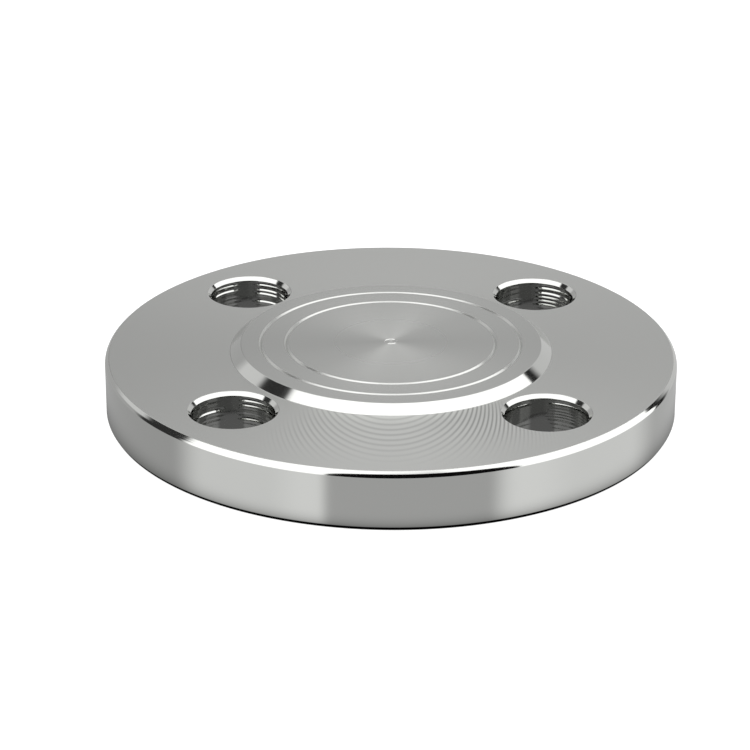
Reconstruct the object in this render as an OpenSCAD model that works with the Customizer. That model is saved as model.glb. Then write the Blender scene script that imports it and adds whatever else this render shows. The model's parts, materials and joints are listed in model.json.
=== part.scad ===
// Blind plate flange with a raised sealing face, turned from one piece of stainless steel.
// The origin is the centre of the flat back face, and +Z runs up to the raised face.
// It has no bore: four clearance holes for bolts go through the plate outside the seal.

/* [Plate] */
// Outside diameter of the plate
flange_d = 135; // [126:1:200]
// Thickness of the plate at the bolt holes, without the raised face
plate_t = 14; // [8:0.5:30]
// Leg of the 45 degree chamfer that breaks the front edge of the rim
rim_chamfer = 0.9; // [0.6:0.1:4]
// Radius that rolls the front chamfer over into the rim
rim_roll_r = 1.3; // [0.2:0.1:3]
// Leg of the 45 degree chamfer that breaks the back edge of the rim
back_chamfer = 0.8; // [0.2:0.1:3]

/* [Raised face] */
// Diameter of the raised face at its foot, where it meets the plate
raised_d = 76; // [69:0.5:78]
// Height of the raised face above the plate
raised_h = 2; // [1:0.1:4]
// Width of the sloping side of the raised face, seen from above
raised_slope_w = 2.5; // [0.5:0.1:5]

/* [Sealing grooves] */
// Diameter of the outer gasket groove, along its bottom
outer_groove_d = 61.5; // [54:0.5:66]
// Diameter of the inner gasket groove, along its bottom
inner_groove_d = 49.5; // [20:0.5:57]
// Width of each gasket groove at its mouth
groove_w = 0.8; // [0.4:0.1:2]
// Angle between the two walls of a gasket groove
groove_angle = 90; // [60:5:120]

/* [Turning centre] */
// Diameter of the small ring that the tool leaves round the centre of the face
centre_ring_d = 2.8; // [1.2:0.1:6]
// Width of that ring at its mouth
centre_ring_w = 0.4; // [0.2:0.05:0.8]

/* [Bolt holes] */
// Number of bolt holes, evenly spaced
bolt_count = 4; // [4:2:8]
// Diameter of the circle through the centres of the bolt holes
bolt_circle_d = 100; // [98:1:110]
// Diameter of each bolt hole
bolt_hole_d = 19; // [10:0.5:21]
// Leg of the 45 degree chamfer at both mouths of each bolt hole
hole_chamfer = 0.85; // [0.2:0.05:1.8]

/* [Hidden] */
$fn = 128;

// A cutter runs this far past the surface it opens
overcut = 1;
// Facets of the short arc where the front chamfer rolls into the rim
roll_steps = 6;
chamfer_angle = 45;

rim_r = flange_d / 2;
raised_r = raised_d / 2;
face_z = plate_t + raised_h;
// The first bolt hole is half a space round from +X, so the holes straddle both centre lines
first_bolt_angle = 180 / bolt_count;

// Centre of the arc that touches both the rim and the front chamfer
roll_x = rim_r - rim_roll_r;
roll_z = plate_t - rim_chamfer - rim_roll_r * tan(chamfer_angle / 2);

// Points of the arc, from the rim up to the chamfer
function rim_roll() = [
    for (i = [0:roll_steps])
        let (a = chamfer_angle * i / roll_steps)
        [roll_x + rim_roll_r * cos(a), roll_z + rim_roll_r * sin(a)]
];

// A V groove of width w in the raised face, from its outer lip to its inner lip
function v_groove(d, w) = [
    [d / 2 + w / 2, face_z],
    [d / 2, face_z - w / 2 / tan(groove_angle / 2)],
    [d / 2 - w / 2, face_z]
];

// Half of the section, from the axis along the back, up the rim and back to the axis
module turned_section() {
    polygon(concat(
        [[0, 0], [rim_r - back_chamfer, 0], [rim_r, back_chamfer]],
        rim_roll(),
        [[rim_r - rim_chamfer, plate_t], [raised_r, plate_t], [raised_r - raised_slope_w, face_z]],
        v_groove(outer_groove_d, groove_w),
        v_groove(inner_groove_d, groove_w),
        v_groove(centre_ring_d, centre_ring_w),
        [[0, face_z]]
    ));
}

// Cutter that widens a hole by its chamfer where it meets a face at z = 0, the metal being below
module mouth_chamfer() {
    hole_r = bolt_hole_d / 2;
    translate([0, 0, -hole_chamfer])
        cylinder(h = hole_chamfer + overcut, r1 = hole_r, r2 = hole_r + hole_chamfer + overcut);
}

// Cutter for one bolt hole with its two chamfered mouths
module bolt_hole() {
    translate([0, 0, -overcut])
        cylinder(h = plate_t + 2 * overcut, d = bolt_hole_d);
    translate([0, 0, plate_t])
        mouth_chamfer();
    mirror([0, 0, 1])
        mouth_chamfer();
}

// The whole flange: one turned blank with its ring of drilled holes
module flange() {
    color("silver")
    difference() {
        rotate_extrude()
            turned_section();
        for (i = [0:bolt_count - 1])
            rotate([0, 0, first_bolt_angle + i * 360 / bolt_count])
                translate([bolt_circle_d / 2, 0, 0])
                    bolt_hole();
    }
}

flange();
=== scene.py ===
import json
import math

import bmesh
import bpy
from mathutils import Matrix, Vector


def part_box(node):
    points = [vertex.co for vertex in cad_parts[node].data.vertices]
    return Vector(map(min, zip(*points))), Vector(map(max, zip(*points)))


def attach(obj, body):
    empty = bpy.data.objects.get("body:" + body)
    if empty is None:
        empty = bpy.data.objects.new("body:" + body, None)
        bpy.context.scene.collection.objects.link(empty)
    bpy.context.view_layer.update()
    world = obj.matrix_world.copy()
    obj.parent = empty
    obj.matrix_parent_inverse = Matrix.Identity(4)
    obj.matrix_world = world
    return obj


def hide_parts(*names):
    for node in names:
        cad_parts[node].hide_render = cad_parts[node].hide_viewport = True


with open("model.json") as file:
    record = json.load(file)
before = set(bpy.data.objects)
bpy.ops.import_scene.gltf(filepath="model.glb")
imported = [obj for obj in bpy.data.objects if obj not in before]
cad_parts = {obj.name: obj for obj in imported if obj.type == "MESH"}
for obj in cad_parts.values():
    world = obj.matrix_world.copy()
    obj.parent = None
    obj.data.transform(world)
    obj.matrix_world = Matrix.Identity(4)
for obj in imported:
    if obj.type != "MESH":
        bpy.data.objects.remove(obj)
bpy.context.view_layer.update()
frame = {"record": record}

# The camera stands on the -Y side and looks down at the flange, as in the photograph.
# Its place is its distance along the view and how far the lens axis passes from the back's centre.
MM = 0.001
VIEW_DOWN = math.radians(23.746)
VIEW_TURN = math.radians(0.59)
VIEW_ROLL = math.radians(-0.232)
VIEW_DISTANCE = 676.3 * MM
VIEW_LEFT = 3.74 * MM
VIEW_ABOVE = 6.67 * MM
LENS_MM = 135.98
SENSOR_MM = 36
NEAREST_SEEN = 0.01
FARTHEST_SEEN = 100

right = Vector((1, 0, 0))
forward = Vector((0, math.cos(VIEW_DOWN), -math.sin(VIEW_DOWN)))
upward = Vector((0, math.sin(VIEW_DOWN), math.cos(VIEW_DOWN)))
rolled_right = right * math.cos(VIEW_ROLL) - upward * math.sin(VIEW_ROLL)
rolled_up = right * math.sin(VIEW_ROLL) + upward * math.cos(VIEW_ROLL)
stand = upward * VIEW_ABOVE - right * VIEW_LEFT - forward * VIEW_DISTANCE

camera_data = bpy.data.cameras.new("camera")
camera_data.lens = LENS_MM
camera_data.sensor_width = SENSOR_MM
camera_data.clip_start = NEAREST_SEEN
camera_data.clip_end = FARTHEST_SEEN
camera = bpy.data.objects.new("camera", camera_data)
bpy.context.scene.collection.objects.link(camera)
camera_axes = Matrix((rolled_right, rolled_up, -forward)).transposed().to_4x4()
camera.matrix_world = Matrix.Rotation(VIEW_TURN, 4, "Z") @ Matrix.Translation(stand) @ camera_axes
bpy.context.scene.camera = camera

# The flange: one disc of stainless steel, turned all over in a lathe, then drilled and countersunk.
# Its rim, slopes and chamfers are polished, its faces keep fine turning rings, and its bores keep
# the rings of the drill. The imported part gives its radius, height, bolt circle and bores.
low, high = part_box("flange")
bolts = next(m["dims"] for m in frame["record"]["mounts"] if m["name"] == "bolt_circle")
RIM_R = (high.x - low.x) / 2
FACE_Z = high.z
BOLT_CIRCLE_R = bolts["pcd_mm"] / 2 * MM
BORE_R = bolts["hole_r_mm"] * MM
BOLT_COUNT = bolts["count"]
PLATE_Z = 14 * MM
RAISED_FOOT_R = 38 * MM
RAISED_SLOPE_W = 2.5 * MM
OUTER_GROOVE_R = 30.75 * MM
INNER_GROOVE_R = 24.75 * MM
GROOVE_W = 0.8 * MM
CENTRE_RING_R = 1.4 * MM
CENTRE_RING_W = 0.4 * MM
RIM_CHAMFER = 0.9 * MM
CHAMFER_TILT = math.radians(45)
RIM_ROLL_R = 1.3 * MM
ROLL_FACETS = 10
BACK_CHAMFER = 0.8 * MM
HOLE_CHAMFER = 0.85 * MM
EDGE_BREAK = 0.1 * MM
EDGE_FACETS = 4
LIP_BREAK = 0.05 * MM
LIP_FACETS = 3
FLAT_BESIDE_EDGE = 2 * EDGE_BREAK
RIM_STEPS = 360
BORE_STEPS = 96
MERGE = 0.001 * MM


def turned(corners, steps, centre=(0, 0)):
    """Rounds the corners of a section and spins it round an upright axis through centre.

    corners is a list of (radius, height, rounding, facets), in order along the section."""
    part = bmesh.new()
    axis_foot = Vector((*centre, 0))
    line = [part.verts.new(axis_foot + Vector((r, 0, z))) for r, z, _, _ in corners]
    for pair in zip(line, line[1:]):
        part.edges.new(pair)
    for corner, (_, _, rounding, facets) in zip(line, corners):
        if rounding:
            bmesh.ops.bevel(
                part, geom=[corner], offset=rounding, offset_type="OFFSET", affect="VERTICES",
                segments=facets, profile=0.5, material=-1)
    bmesh.ops.spin(
        part, geom=part.verts[:] + part.edges[:], cent=axis_foot, axis=(0, 0, 1), dvec=(0, 0, 0),
        angle=math.tau, steps=steps, use_merge=True, use_normal_flip=False, use_duplicate=False)
    return part


def join(whole, part):
    """Adds a turned part to the whole flange."""
    mesh = bpy.data.meshes.new("turned_part")
    part.to_mesh(mesh)
    part.free()
    whole.from_mesh(mesh)
    bpy.data.meshes.remove(mesh)


def v_groove(radius, width):
    """Corners of a V groove in the raised face, from its inner lip to its outer lip."""
    return [
        (radius - width / 2, FACE_Z, LIP_BREAK, LIP_FACETS),
        (radius, FACE_Z - width / 2, LIP_BREAK, LIP_FACETS),
        (radius + width / 2, FACE_Z, LIP_BREAK, LIP_FACETS),
    ]


raised_face = [
    (0, FACE_Z, 0, 0),
    *v_groove(CENTRE_RING_R, CENTRE_RING_W),
    *v_groove(INNER_GROOVE_R, GROOVE_W),
    *v_groove(OUTER_GROOVE_R, GROOVE_W),
    (RAISED_FOOT_R - RAISED_SLOPE_W, FACE_Z, EDGE_BREAK, EDGE_FACETS),
    (RAISED_FOOT_R, PLATE_Z, EDGE_BREAK, EDGE_FACETS),
    (RAISED_FOOT_R + FLAT_BESIDE_EDGE, PLATE_Z, 0, 0),
]
rim = [
    (RIM_R - RIM_CHAMFER - FLAT_BESIDE_EDGE, PLATE_Z, 0, 0),
    (RIM_R - RIM_CHAMFER, PLATE_Z, EDGE_BREAK, EDGE_FACETS),
    (RIM_R, PLATE_Z - RIM_CHAMFER, RIM_ROLL_R * math.tan(CHAMFER_TILT / 2), ROLL_FACETS),
    (RIM_R, BACK_CHAMFER, EDGE_BREAK, EDGE_FACETS),
    (RIM_R - BACK_CHAMFER, 0, 0, 0),
]

# Rings that the drill left in each bore, from the back right hole round to the front right one:
# how far in mm each lies below the mouth, and how strongly it is cut on the left and on the right.
BORE_TOP = PLATE_Z - HOLE_CHAMFER
RING_DEPTH = 0.26 * MM
RING_SHARE = 0.86
RING_TIP_SHARE = 0.15
LEFT_RINGS_END = -0.3
RIGHT_RINGS_START = 0.08
RINGS_FADE = 0.12
BACK_RINGS_START = 0.15
BACK_RINGS_FADE = 0.3
FAINT_SHARE = 0.12
bore_rings = [
    [(1.0, 0.1, 0.9), (2.3, 0.2, 1.0), (3.4, 0.1, 0.9), (4.4, 0.9, 0.9), (5.4, 0.1, 0.9)],
    [(0.8, 0.8, 0.8), (2.1, 1.0, 0.9), (3.1, 0.15, 1.0), (4.3, 0.2, 0.15), (5.2, 0.15, 1.0)],
    [(0.9, 0.2, 0.8), (2.1, 0.15, 0.8), (3.2, 1.0, 0.2), (4.5, 0.15, 0.15), (5.5, 0.15, 0.9)],
    [(1.0, 0.5, 0.5), (2.1, 0, 0.12), (2.9, 0, 0.15), (3.6, 0, 0.18), (4.3, 0, 0.2), (5.0, 0, 0.2)],
]
# Further down, where the photograph doesn't reach, they go on evenly and faintly
LOWER_PITCH_MM = 1.05
LOWEST_RING_MM = 10.7
LOWER_STRENGTHS = (0.1, 0.15)
for rings in bore_rings:
    while rings[-1][0] < LOWEST_RING_MM:
        rings.append((rings[-1][0] + LOWER_PITCH_MM, *LOWER_STRENGTHS))


def share(value):
    """The number from 0 to 1 that is nearest to value."""
    return min(max(value, 0), 1)


def bolt_bore(rings, centre):
    """Turns one bolt hole with its chamfered mouths and rings, which are faint but for its back wall."""
    section = [
        (BORE_R + HOLE_CHAMFER + FLAT_BESIDE_EDGE, PLATE_Z, 0, 0),
        (BORE_R + HOLE_CHAMFER, PLATE_Z, EDGE_BREAK, EDGE_FACETS),
        (BORE_R, BORE_TOP, LIP_BREAK, LIP_FACETS),
    ]
    closest = min(after[0] - before[0] for before, after in zip(rings, rings[1:]))
    ring_w = RING_SHARE * closest * MM
    for below_mm, _, _ in rings:
        height = BORE_TOP - below_mm * MM
        section += [
            (BORE_R, height + ring_w / 2, 0, 0),
            (BORE_R + RING_DEPTH, height, RING_TIP_SHARE * ring_w, LIP_FACETS),
            (BORE_R, height - ring_w / 2, 0, 0),
        ]
    section += [(BORE_R, HOLE_CHAMFER, 0, 0), (BORE_R + HOLE_CHAMFER, 0, 0, 0)]
    part = turned(section, BORE_STEPS, centre)
    for vert in part.verts:
        outward = Vector((vert.co.x - centre[0], vert.co.y - centre[1], 0))
        cut = outward.length - BORE_R
        if cut > MERGE and HOLE_CHAMFER < vert.co.z < BORE_TOP - LIP_BREAK:
            below_mm = (BORE_TOP - vert.co.z) / MM
            _, on_left, on_right = min(rings, key=lambda ring: abs(ring[0] - below_mm))
            outward.normalize()
            strength = on_left * share((LEFT_RINGS_END - outward.x) / RINGS_FADE)
            strength += on_right * share((outward.x - RIGHT_RINGS_START) / RINGS_FADE)
            back_share = share((outward.y - BACK_RINGS_START) / BACK_RINGS_FADE)
            strength *= FAINT_SHARE + (1 - FAINT_SHARE) * back_share
            vert.co -= outward * cut * (1 - strength)
    return part


bm = bmesh.new()
join(bm, turned(raised_face, RIM_STEPS))
join(bm, turned(rim, RIM_STEPS))
bore_centres = []
for hole, rings in enumerate(bore_rings):
    angle = math.tau * (hole + 0.5) / BOLT_COUNT
    bore_centres.append(Vector((BOLT_CIRCLE_R * math.cos(angle), BOLT_CIRCLE_R * math.sin(angle))))
    join(bm, bolt_bore(rings, bore_centres[-1]))
bmesh.ops.remove_doubles(bm, verts=bm.verts, dist=MERGE)
for height in (PLATE_Z, 0):
    mouths = [
        edge for edge in bm.edges
        if edge.is_boundary and all(abs(vert.co.z - height) < 10 * MERGE for vert in edge.verts)]
    bmesh.ops.triangle_fill(bm, use_beauty=True, use_dissolve=False, edges=mouths, normal=(0, 0, 1))
bmesh.ops.recalc_face_normals(bm, faces=bm.faces)

# Flat faces keep their exact direction, so every edge round them is sharp
FACED, PLATE, POLISHED, DRILLED, GROOVED = range(5)
SMOOTH_ANGLE = math.radians(30)
FLAT_ANGLE = math.radians(0.5)
FLAT_NORMAL_Z = 0.99999
LEVEL_NORMAL_Z = 0.999
for edge in bm.edges:
    flat = any(abs(face.normal.z) > FLAT_NORMAL_Z for face in edge.link_faces)
    edge.smooth = edge.calc_face_angle(0) < (FLAT_ANGLE if flat else SMOOTH_ANGLE)
for face in bm.faces:
    face.smooth = True
    middle = face.calc_center_median()
    from_bore = min((middle.xy - bore).length for bore in bore_centres)
    if abs(face.normal.z) > LEVEL_NORMAL_Z:
        face.material_index = FACED if middle.z > (PLATE_Z + FACE_Z) / 2 else PLATE
    elif from_bore < BORE_R + RING_DEPTH + MERGE and HOLE_CHAMFER < middle.z < BORE_TOP - LIP_BREAK:
        face.material_index = DRILLED
    elif middle.xy.length < OUTER_GROOVE_R + GROOVE_W:
        face.material_index = GROOVED
    else:
        face.material_index = POLISHED
flange_mesh = bpy.data.meshes.new("turned_flange")
bm.to_mesh(flange_mesh)
bm.free()


def math_node(tree, operation, *values):
    """Adds a Math node and returns its output. values are sockets or numbers."""
    node = tree.nodes.new("ShaderNodeMath")
    node.operation = operation
    for socket, value in zip(node.inputs, values):
        if isinstance(value, bpy.types.NodeSocket):
            tree.links.new(value, socket)
        else:
            socket.default_value = value
    return node.outputs[0]


def rising(tree, value, at, soft):
    """0 below at and 1 above it, with a soft step between."""
    step = tree.nodes.new("ShaderNodeMapRange")
    step.interpolation_type = "SMOOTHSTEP"
    tree.links.new(value, step.inputs["Value"])
    step.inputs["From Min"].default_value = at - soft
    step.inputs["From Max"].default_value = at + soft
    return step.outputs[0]


def falling(tree, value, at, soft):
    """1 below at and 0 above it, with a soft step between."""
    return math_node(tree, "SUBTRACT", 1, rising(tree, value, at, soft))


def band(tree, value, start, end, soft, end_soft=None):
    """1 between start and end and 0 outside, with soft ends."""
    inside = rising(tree, value, start, soft)
    return math_node(tree, "MULTIPLY", inside, falling(tree, value, end, end_soft or soft))


def separated(tree, kind):
    """The x, y and z of one kind of texture coordinates."""
    apart = tree.nodes.new("ShaderNodeSeparateXYZ")
    tree.links.new(tree.nodes.new("ShaderNodeTexCoord").outputs[kind], apart.inputs[0])
    return apart.outputs


def distance(tree, x, y):
    """How far a point at x and y is from the upright axis."""
    square = math_node(tree, "ADD", math_node(tree, "MULTIPLY", x, x), math_node(tree, "MULTIPLY", y, y))
    return math_node(tree, "SQRT", square)


def uneven_rings(tree, along, pitch):
    """Uneven rings or lines of about this pitch in the direction of along, from 0 to 1."""
    noise = tree.nodes.new("ShaderNodeTexNoise")
    noise.noise_dimensions = "1D"
    noise.inputs["Scale"].default_value = 1 / pitch
    noise.inputs["Detail"].default_value = 1
    tree.links.new(along, noise.inputs["W"])
    return noise.outputs[0]


MICRON = 0.001 * MM
STEEL_COLOUR = (0.668, 0.674, 0.655)
QUARTER_TURN = 0.25
UNEVEN_PITCH = 1.3 * MM
TURNING_PITCH = 1.1 * MM
TURNING_DEPTH = 0.5 * MICRON


def steel(name, roughness, uneven, anisotropy, roughness_slope=0):
    """Stainless steel whose highlights spread across the lines that the lathe left round the axis.

    Its roughness varies by uneven from ring to ring, and grows by roughness_slope for each metre
    from the axis. Returns its tree, shader, radius, x, y and z."""
    material = bpy.data.materials.new(name)
    material.use_nodes = True
    flange_mesh.materials.append(material)
    tree = material.node_tree
    shader = tree.nodes["Principled BSDF"]
    shader.inputs["Base Color"].default_value = (*STEEL_COLOUR, 1)
    shader.inputs["Metallic"].default_value = 1
    shader.inputs["Anisotropic"].default_value = anisotropy
    shader.inputs["Anisotropic Rotation"].default_value = QUARTER_TURN
    along = tree.nodes.new("ShaderNodeVectorMath")
    along.operation = "CROSS_PRODUCT"
    along.inputs[0].default_value = (0, 0, 1)
    tree.links.new(tree.nodes.new("ShaderNodeTexCoord").outputs["Object"], along.inputs[1])
    tree.links.new(along.outputs[0], shader.inputs["Tangent"])
    x, y, z = separated(tree, "Object")
    radius = distance(tree, x, y)
    change = math_node(tree, "SUBTRACT", uneven_rings(tree, radius, UNEVEN_PITCH), 0.5)
    rough = math_node(tree, "MULTIPLY_ADD", change, uneven, roughness)
    if roughness_slope:
        rough = math_node(tree, "MULTIPLY_ADD", radius, roughness_slope, rough)
    tree.links.new(rough, shader.inputs["Roughness"])
    return tree, shader, radius, (x, y, z)


def fine_lines(tree, along, pitch, depth):
    """The height of the fine lines that a tool left, depth from the lowest to the highest."""
    return math_node(tree, "MULTIPLY", uneven_rings(tree, along, pitch), depth)


def raise_surface(tree, shader, height):
    """Uses a height in metres as the fine relief of a finish."""
    bump = tree.nodes.new("ShaderNodeBump")
    bump.inputs["Strength"].default_value = 1
    bump.inputs["Distance"].default_value = 1
    tree.links.new(height, bump.inputs["Height"])
    tree.links.new(bump.outputs[0], shader.inputs["Normal"])


# The raised face: turned with a fine feed and left as it came off the tool, which cuts rougher
# towards the centre, where the metal passes it slowly
CENTRE_ROUGHNESS = 0.33
FOOT_ROUGHNESS = 0.17
tree, shader, radius, _ = steel(
    "faced_steel", CENTRE_ROUGHNESS, uneven=0.03, anisotropy=0.88,
    roughness_slope=(FOOT_ROUGHNESS - CENTRE_ROUGHNESS) / RAISED_FOOT_R)
raise_surface(tree, shader, fine_lines(tree, radius, TURNING_PITCH, TURNING_DEPTH))

# The plate: polished until the rings are faint, but for a fan of crossing rings in front, where the
# marks of two passes beat against each other. Angles are in degrees, from the front to the right.
FINE_RINGS_PER_MM = 2.128
CROSSING_RINGS_PER_MM = 1.76
FAN_RELIEF = 2 * MICRON
FAN_LEFT = -26
FAN_RIGHT = 37
FAN_R = 57 * MM
FAN_R_SOFT = 9 * MM
tree, shader, radius, (x, y, z) = steel("plate_steel", 0.284, uneven=0.03, anisotropy=0.6)
turns = math_node(
    tree, "ADD", math_node(tree, "MULTIPLY", radius, FINE_RINGS_PER_MM / MM),
    math_node(tree, "MULTIPLY", y, CROSSING_RINGS_PER_MM / MM))
waves = math_node(tree, "SINE", math_node(tree, "MULTIPLY", turns, math.tau))
fan_angle = math_node(
    tree, "DEGREES", math_node(tree, "ARCTAN2", x, math_node(tree, "MULTIPLY", y, -1)))
on_top = rising(tree, z, PLATE_Z - MM, soft=0.1 * MM)
sector = math_node(tree, "MULTIPLY", band(tree, fan_angle, FAN_LEFT, FAN_RIGHT, soft=6), on_top)
area = math_node(tree, "MULTIPLY", sector, falling(tree, radius, FAN_R, FAN_R_SOFT))
fan = math_node(tree, "MULTIPLY", waves, area)
fine = fine_lines(tree, radius, TURNING_PITCH, TURNING_DEPTH)
raise_surface(tree, shader, math_node(tree, "MULTIPLY_ADD", fan, FAN_RELIEF, fine))

# The plate's colour carries painted light. Thin dark lines, darkest on the right, paint the dark
# reflections of the fan's rings. Between them the fan is painted brighter than the plate round it, and a
# painted highlight brightens the plate most of all in front.
LINE_SHARPNESS = 2.2
LINE_MEAN = 0.3
# Painted reflections: how dark the fan's lines are painted in the colour, more so on the right
PAINTED_LINE_CONTRAST = 0.27
PAINTED_LINE_SIDE_CONTRAST = 0.3
SIDE_STARTS = 18
SIDE_R = 54 * MM
SIDE_R_SOFT = 6 * MM
# Painted highlight: how much brighter the plate's colour is painted in front
FAN_PAINTED_HIGHLIGHT = 0.10
PAINTED_HIGHLIGHT_REACH = 19
troughs = math_node(tree, "POWER", math_node(tree, "MULTIPLY_ADD", waves, -0.5, 0.5), LINE_SHARPNESS)
painted_reflection_lines = math_node(tree, "MULTIPLY", math_node(tree, "SUBTRACT", LINE_MEAN, troughs), area)
beside = rising(tree, fan_angle, SIDE_STARTS, soft=10)
side = math_node(tree, "MULTIPLY", beside, falling(tree, radius, SIDE_R, SIDE_R_SOFT))
painted_line_contrast = math_node(tree, "MULTIPLY_ADD", side, PAINTED_LINE_SIDE_CONTRAST, PAINTED_LINE_CONTRAST)
middle = math_node(
    tree, "MULTIPLY", band(tree, fan_angle, -PAINTED_HIGHLIGHT_REACH, PAINTED_HIGHLIGHT_REACH, soft=14), on_top)
painted_highlight = math_node(tree, "MULTIPLY_ADD", middle, FAN_PAINTED_HIGHLIGHT, 1)
painted_light_gain = math_node(tree, "MULTIPLY_ADD", painted_reflection_lines, painted_line_contrast, painted_highlight)
# The painted reflection lines and the painted highlight scale the steel's base colour
painted_light_tint = tree.nodes.new("ShaderNodeVectorMath")
painted_light_tint.operation = "SCALE"
painted_light_tint.inputs[0].default_value = STEEL_COLOUR
tree.links.new(painted_light_gain, painted_light_tint.inputs["Scale"])
tree.links.new(painted_light_tint.outputs[0], shader.inputs["Base Color"])

# The rim, the slopes and the chamfers: polished bright
tree, shader, _, (_, _, z) = steel("polished_steel", 0.09, uneven=0.02, anisotropy=0.4)
raise_surface(tree, shader, fine_lines(tree, z, pitch=0.3 * MM, depth=0.4 * MICRON))

# The bores: drilled, with fine lines between the deeper rings
tree, shader, _, (_, _, z) = steel("drilled_steel", 0.1, uneven=0, anisotropy=0)
raise_surface(tree, shader, fine_lines(tree, z, pitch=0.7 * MM, depth=0.8 * MICRON))

# The gasket grooves: cut to a V by the point of a tool, and duller than the polished chamfers
tree, shader, _, (_, _, z) = steel("grooved_steel", 0.3, uneven=0.03, anisotropy=0.5)
raise_surface(tree, shader, fine_lines(tree, z, pitch=0.2 * MM, depth=0.4 * MICRON))

flange = bpy.data.objects.new("turned_flange", flange_mesh)
bpy.context.scene.collection.objects.link(flange)
weigh = flange.modifiers.new("weigh_normals", "WEIGHTED_NORMAL")
weigh.keep_sharp = True
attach(flange, "root")
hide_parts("flange")

# The floor: a plain sheet of white acrylic with a little light of its own, as on a light table.
# Reflections look past it, because the metal in the photograph mirrors the studio and not the table.
# A thin ring of painted shadow, with neither grey nor glow, lies on the floor right at the edge that the
# flange stands on.
FLOOR_HALF = 12
FLOOR_GREY = 0.4
FLOOR_GLOW = 0.85
PAINTED_SHADOW_R = RIM_R - BACK_CHAMFER + 0.3 * MM
PAINTED_SHADOW_W = 3 * MM
floor_mesh = bpy.data.meshes.new("floor")
bm = bmesh.new()
bmesh.ops.create_grid(bm, x_segments=1, y_segments=1, size=FLOOR_HALF)
bm.to_mesh(floor_mesh)
bm.free()
floor = bpy.data.objects.new("floor", floor_mesh)
bpy.context.scene.collection.objects.link(floor)
acrylic = bpy.data.materials.new("acrylic")
acrylic.use_nodes = True
tree = acrylic.node_tree
shader = tree.nodes["Principled BSDF"]
shader.inputs["Roughness"].default_value = 1
shader.inputs["Emission Color"].default_value = (1, 1, 1, 1)
x, y, _ = separated(tree, "Object")
# Painted contact shadow: the floor's grey and glow are taken away in a ring just inside the foot of the
# rim
painted_contact_shadow = band(tree, distance(tree, x, y), PAINTED_SHADOW_R - PAINTED_SHADOW_W, PAINTED_SHADOW_R, soft=0.1 * MM)
outside_painted_shadow = math_node(tree, "SUBTRACT", 1, painted_contact_shadow)
tree.links.new(math_node(tree, "MULTIPLY", outside_painted_shadow, FLOOR_GREY), shader.inputs["Base Color"])
tree.links.new(math_node(tree, "MULTIPLY", outside_painted_shadow, FLOOR_GLOW), shader.inputs["Emission Strength"])
floor_mesh.materials.append(acrylic)
floor.visible_glossy = False

# The shade under the flange and close round it, on a sheet that only reflections see. The bores look
# down into it, and the foot of the rim mirrors its soft edge, which is denser in front and behind.
SHADE_REACH = 12.5 * MM
SHADE_DROP = 0.2 * MM
SHADE_STEPS = 96
SHADE_FALL = 4
SHADE_AT_SIDES = 0.4
SHADE_AT_FOOT = 0.02
SHADE_UNDER_BORES = 0.75
FULL_SHADE_R = 61 * MM
shade_mesh = bpy.data.meshes.new("under_sheet")
bm = bmesh.new()
bmesh.ops.create_circle(bm, cap_ends=True, segments=SHADE_STEPS, radius=RIM_R + SHADE_REACH)
bmesh.ops.translate(bm, verts=bm.verts, vec=(0, 0, -SHADE_DROP))
bm.to_mesh(shade_mesh)
bm.free()
under_sheet = bpy.data.objects.new("under_sheet", shade_mesh)
bpy.context.scene.collection.objects.link(under_sheet)
shade = bpy.data.materials.new("shade")
shade.use_nodes = True
tree = shade.node_tree
shader = tree.nodes["Principled BSDF"]
shader.inputs["Base Color"].default_value = (0, 0, 0, 1)
shader.inputs["Specular IOR Level"].default_value = 0
shader.inputs["Roughness"].default_value = 1
x, y, _ = separated(tree, "Object")
radius = distance(tree, x, y)
beyond = math_node(tree, "DIVIDE", math_node(tree, "SUBTRACT", radius, RIM_R), SHADE_REACH)
remaining = math_node(tree, "MAXIMUM", 0, math_node(tree, "SUBTRACT", 1, beyond))
fading = math_node(tree, "POWER", math_node(tree, "MINIMUM", 1, remaining), SHADE_FALL)
in_front = math_node(tree, "DIVIDE", math_node(tree, "ABSOLUTE", y), radius)
density = math_node(tree, "MULTIPLY_ADD", in_front, 1 - SHADE_AT_SIDES, SHADE_AT_SIDES)
at_foot = math_node(tree, "LESS_THAN", beyond, SHADE_AT_FOOT)
density = math_node(tree, "MAXIMUM", density, at_foot)
under_bores = falling(tree, radius, FULL_SHADE_R, soft=MM)
density = math_node(tree, "MULTIPLY_ADD", under_bores, SHADE_UNDER_BORES - 1, density)
tree.links.new(math_node(tree, "MULTIPLY", fading, density), shader.inputs["Alpha"])
shade_mesh.materials.append(shade)
under_sheet.visible_camera = False
under_sheet.visible_diffuse = False
under_sheet.visible_shadow = False

# The studio: a white tent open at the back, dark flags at its two ends, a grey backdrop behind them
# and the dark shape of the camera stand in front. It is one world, far away, so every view of the
# flange mirrors the same studio. Directions are in degrees, turned from the front or from the back.
studio = bpy.data.worlds.new("studio")
bpy.context.scene.world = studio
studio.use_nodes = True
tree = studio.node_tree
tree.nodes.clear()
x, y, z = separated(tree, "Generated")
raised = math_node(tree, "DEGREES", math_node(tree, "ARCSINE", z))
minus_y = math_node(tree, "MULTIPLY", y, -1)
front_turn = math_node(tree, "DEGREES", math_node(tree, "ARCTAN2", x, minus_y))
back_turn = math_node(tree, "DEGREES", math_node(tree, "ARCTAN2", x, y))


def hung(light, brightness, *masks):
    """Hangs a card or a lamp of some brightness before light, where every mask is 1."""
    mask = masks[0]
    for other in masks[1:]:
        mask = math_node(tree, "MULTIPLY", mask, other)
    change = math_node(tree, "MULTIPLY", mask, math_node(tree, "SUBTRACT", brightness, light))
    return math_node(tree, "ADD", light, change)


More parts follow.
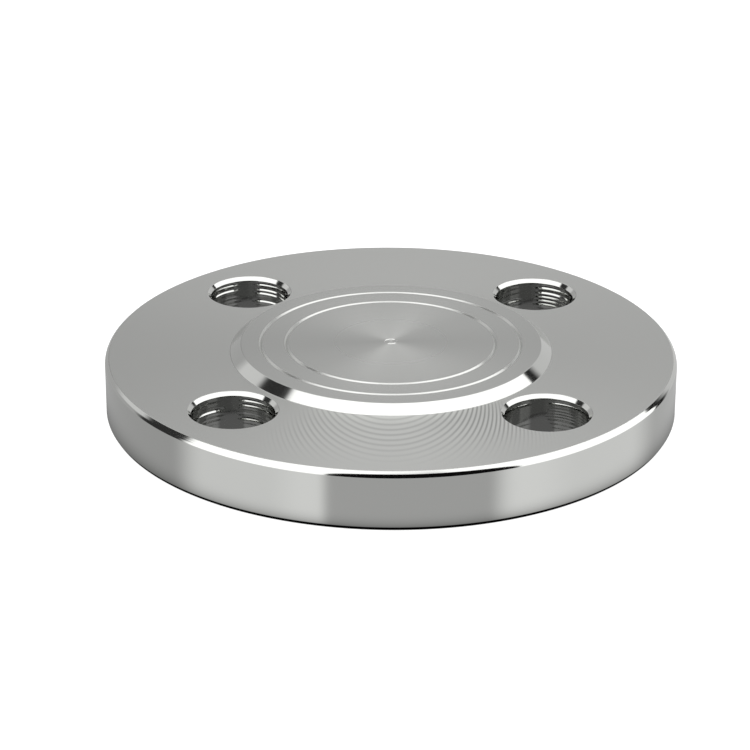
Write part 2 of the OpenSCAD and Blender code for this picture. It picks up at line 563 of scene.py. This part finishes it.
# The backdrop: lighter on the right than on the left, dimmest in its middle, and lighter high up
BACKDROP_LEFT = 0.475
BACKDROP_RIGHT = 0.685
BACKDROP_MIDDLE = 0.467
BACKDROP_DIMMEST = 0.30
BACKDROP_RISE = 0.18
light = hung(BACKDROP_LEFT, BACKDROP_RIGHT, rising(tree, back_turn, at=2, soft=16))
above_edge = rising(tree, raised, at=15, soft=4)
light = hung(light, BACKDROP_MIDDLE, band(tree, back_turn, start=-37, end=29, soft=7), above_edge)
light = hung(light, BACKDROP_DIMMEST, band(tree, back_turn, start=-25.5, end=-8, soft=7), above_edge)
light = math_node(tree, "MULTIPLY_ADD", rising(tree, raised, at=27.5, soft=7.5), BACKDROP_RISE, light)

# The tent's two sides lean outwards, with a dark flag along the edge of each
LEAN = 0.75
LEAN_STARTS = 21
LEAN_MIDDLE = 49
TABLE_EDGE = -15
TENT_LEFT_EDGE = -104.5
TENT_RIGHT_EDGE = 143
SIDE_CARD = 0.78
HIGH_LIGHT = 1.3
LEFT_FLAG = 0.035
RIGHT_FLAG = 0.01
TENT = 1.6
TENT_TOP = 1.8
leaning = math_node(tree, "MAXIMUM", raised, LEAN_STARTS)
lean = math_node(tree, "MULTIPLY", math_node(tree, "SUBTRACT", leaning, LEAN_MIDDLE), LEAN)
left_turn = math_node(tree, "ADD", front_turn, lean)
right_turn = math_node(tree, "SUBTRACT", front_turn, lean)
above_table = rising(tree, raised, TABLE_EDGE, soft=2)
side_card = band(tree, left_turn, start=-160, end=-131, soft=4, end_soft=5)
left_flag = band(tree, left_turn, start=-132.5, end=TENT_LEFT_EDGE, soft=4)
right_flag = band(tree, right_turn, start=TENT_RIGHT_EDGE, end=154, soft=0.8, end_soft=5)
tent_left = rising(tree, left_turn, TENT_LEFT_EDGE, soft=3.5)
tent_right = falling(tree, right_turn, TENT_RIGHT_EDGE, soft=0.8)
light = hung(light, SIDE_CARD, side_card, above_edge)
light = hung(light, HIGH_LIGHT, rising(tree, raised, at=52, soft=15))
light = hung(light, LEFT_FLAG, left_flag, above_table)
light = hung(light, RIGHT_FLAG, right_flag, above_table)
light = hung(light, TENT, tent_left, tent_right, above_table)
light = hung(light, TENT_TOP, rising(tree, raised, at=68, soft=3))

# Right overhead the tent has a dim opening, which the flat faces mirror to a viewer above them
OPENING = 0.6
OPENING_Y = 0.1
OPENING_R = 0.2
from_opening = distance(tree, x, math_node(tree, "SUBTRACT", y, OPENING_Y))
light = hung(light, OPENING, falling(tree, from_opening, OPENING_R, soft=0.03), above_table)

# The camera stand, a round-shouldered shape
STAND = 0.004
STAND_TURN = 13
STAND_HALF_W = 37
STAND_H = 77
STAND_SIDES = 4
STAND_SHOULDERS = 2.5
from_middle = math_node(tree, "ABSOLUTE", math_node(tree, "SUBTRACT", front_turn, STAND_TURN))
across = math_node(tree, "POWER", math_node(tree, "DIVIDE", from_middle, STAND_HALF_W), STAND_SIDES)
over_table = math_node(tree, "MAXIMUM", 0, math_node(tree, "SUBTRACT", raised, TABLE_EDGE))
upwards = math_node(tree, "POWER", math_node(tree, "DIVIDE", over_table, STAND_H), STAND_SHOULDERS)
in_stand = falling(tree, math_node(tree, "ADD", across, upwards), at=1, soft=0.1)
light = hung(light, STAND, in_stand, above_table)

# The table's surroundings, which the rim mirrors, from the back round to the front and to the right
BELOW_TABLE = 0.52
BELOW_LEFT_BACK = 0.42
BELOW_LEFT = 0.79
BELOW_LEFT_BRIGHTEST = 0.88
BELOW_FRONT = 0.475
BELOW_RIGHT = 0.81
BELOW_RIGHT_BRIGHTEST = 0.89
UNDER_TABLE = 0.02
FRONT_LEFT = -25
FRONT_RIGHT = 46.5
below = falling(tree, raised, TABLE_EDGE, soft=2)
light = hung(light, BELOW_TABLE, below)
for brightness, start, end, soft, end_soft in (
        (BELOW_LEFT_BACK, -170, -86, 8, 8),
        (BELOW_LEFT, -88, FRONT_LEFT, 10, 4),
        (BELOW_LEFT_BRIGHTEST, -42, FRONT_LEFT, 9, 4),
        (BELOW_FRONT, FRONT_LEFT, FRONT_RIGHT, 4, 8),
        (BELOW_RIGHT, FRONT_RIGHT, 122, 8, 12),
        (BELOW_RIGHT_BRIGHTEST, FRONT_RIGHT, 70, 8, 12)):
    light = hung(light, brightness, below, band(tree, front_turn, start, end, soft, end_soft))
light = hung(light, UNDER_TABLE, falling(tree, raised, at=-48, soft=4))

# The camera itself sees plain white behind the floor
seen = tree.nodes.new("ShaderNodeLightPath").outputs["Is Camera Ray"]
light = hung(light, 1, seen)
background = tree.nodes.new("ShaderNodeBackground")
tree.links.new(light, background.inputs["Color"])
output = tree.nodes.new("ShaderNodeOutputWorld")
tree.links.new(background.outputs[0], output.inputs["Surface"])

bpy.context.scene.view_settings.view_transform = "Standard"
